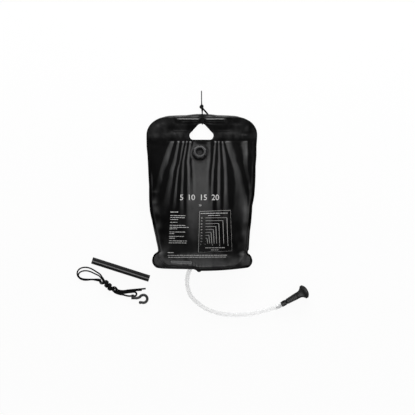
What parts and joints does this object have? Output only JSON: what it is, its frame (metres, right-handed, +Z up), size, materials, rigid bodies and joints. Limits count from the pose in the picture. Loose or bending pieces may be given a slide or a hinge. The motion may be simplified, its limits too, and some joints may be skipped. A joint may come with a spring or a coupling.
{
  "type": "camp shower bag",
  "caption": "Filled black camp shower bag lying flat, with a screw filler, a clear hose to a pull-to-open shower head, a carrying pipe and a spare cord with a hook.",
  "frame": {"origin": "on the flat underside of the filled bag, at z = 0, in the middle of its width and 0.246 m above its bottom edge", "axes": "+Y from the hose end of the bag to its handle, +X to the shower head's side, +Z up from the surface that everything lies on"},
  "size_m": [0.867, 0.8454, 0.1043],
  "materials": {
    "front_panel": "black PVC sheet, soft gloss",
    "back_panel": "black PVC sheet, soft gloss",
    "temperature_strip": "thin printed film",
    "filler_neck": "moulded black plastic",
    "filler_gasket": "black rubber",
    "filler_cap": "moulded black plastic",
    "outlet_flange": "moulded black plastic",
    "outlet_washer": "black rubber",
    "outlet_elbow": "moulded black plastic",
    "hose": "clear soft PVC tube",
    "hose_connector": "moulded black plastic",
    "connector_seal": "black rubber",
    "tip_seal": "black rubber",
    "shower_head": "moulded black plastic",
    "spray_plate": "moulded black plastic",
    "handle_pipe": "extruded black plastic",
    "cord_hook": "moulded dark plastic",
    "hook_cord": "braided black cord",
    "hanging_string": "braided black string"
  },
  "bodies": {
    "bag": {"front_panel": "front_panel", "back_panel": "back_panel", "temperature_strip": "temperature_strip", "filler_neck": "filler_neck", "outlet_flange": "outlet_flange", "outlet_washer": "outlet_washer", "outlet_elbow": "outlet_elbow", "hose": "hose", "hose_connector": "hose_connector", "connector_seal": "connector_seal", "tip_seal": "tip_seal", "hanging_string": "hanging_string"},
    "cap_carrier": {"filler_gasket": "filler_gasket"},
    "cap": {"filler_cap": "filler_cap"},
    "head": {"shower_head": "shower_head", "spray_plate": "spray_plate"},
    "pipe": {"handle_pipe": "handle_pipe"},
    "hook": {"cord_hook": "cord_hook", "hook_cord": "hook_cord"}
  },
  "joints": [
    {"name": "cap_lift", "type": "slide", "parent": "bag", "child": "cap_carrier", "axis": [0, 0.3282, 0.9446], "range_m": [0, 0.06]},
    {"name": "cap_turn", "type": "hinge", "parent": "cap_carrier", "child": "cap", "pos_m": [-0.0065, 0.19283, 0.02732], "axis": [0, 0.3282, 0.9446], "range_deg": [0, 540]},
    {"name": "rose_pull", "type": "slide", "parent": "bag", "child": "head", "axis": [0.8563, 0.4944, 0.1493], "range_m": [0, 0.006]},
    {"name": "pipe_lift", "type": "slide", "parent": "bag", "child": "pipe", "axis": [0, 0, 1], "range_m": [0, 0.3]},
    {"name": "hook_lift", "type": "slide", "parent": "bag", "child": "hook", "axis": [0, 0, 1], "range_m": [0, 0.3]}
  ]
}
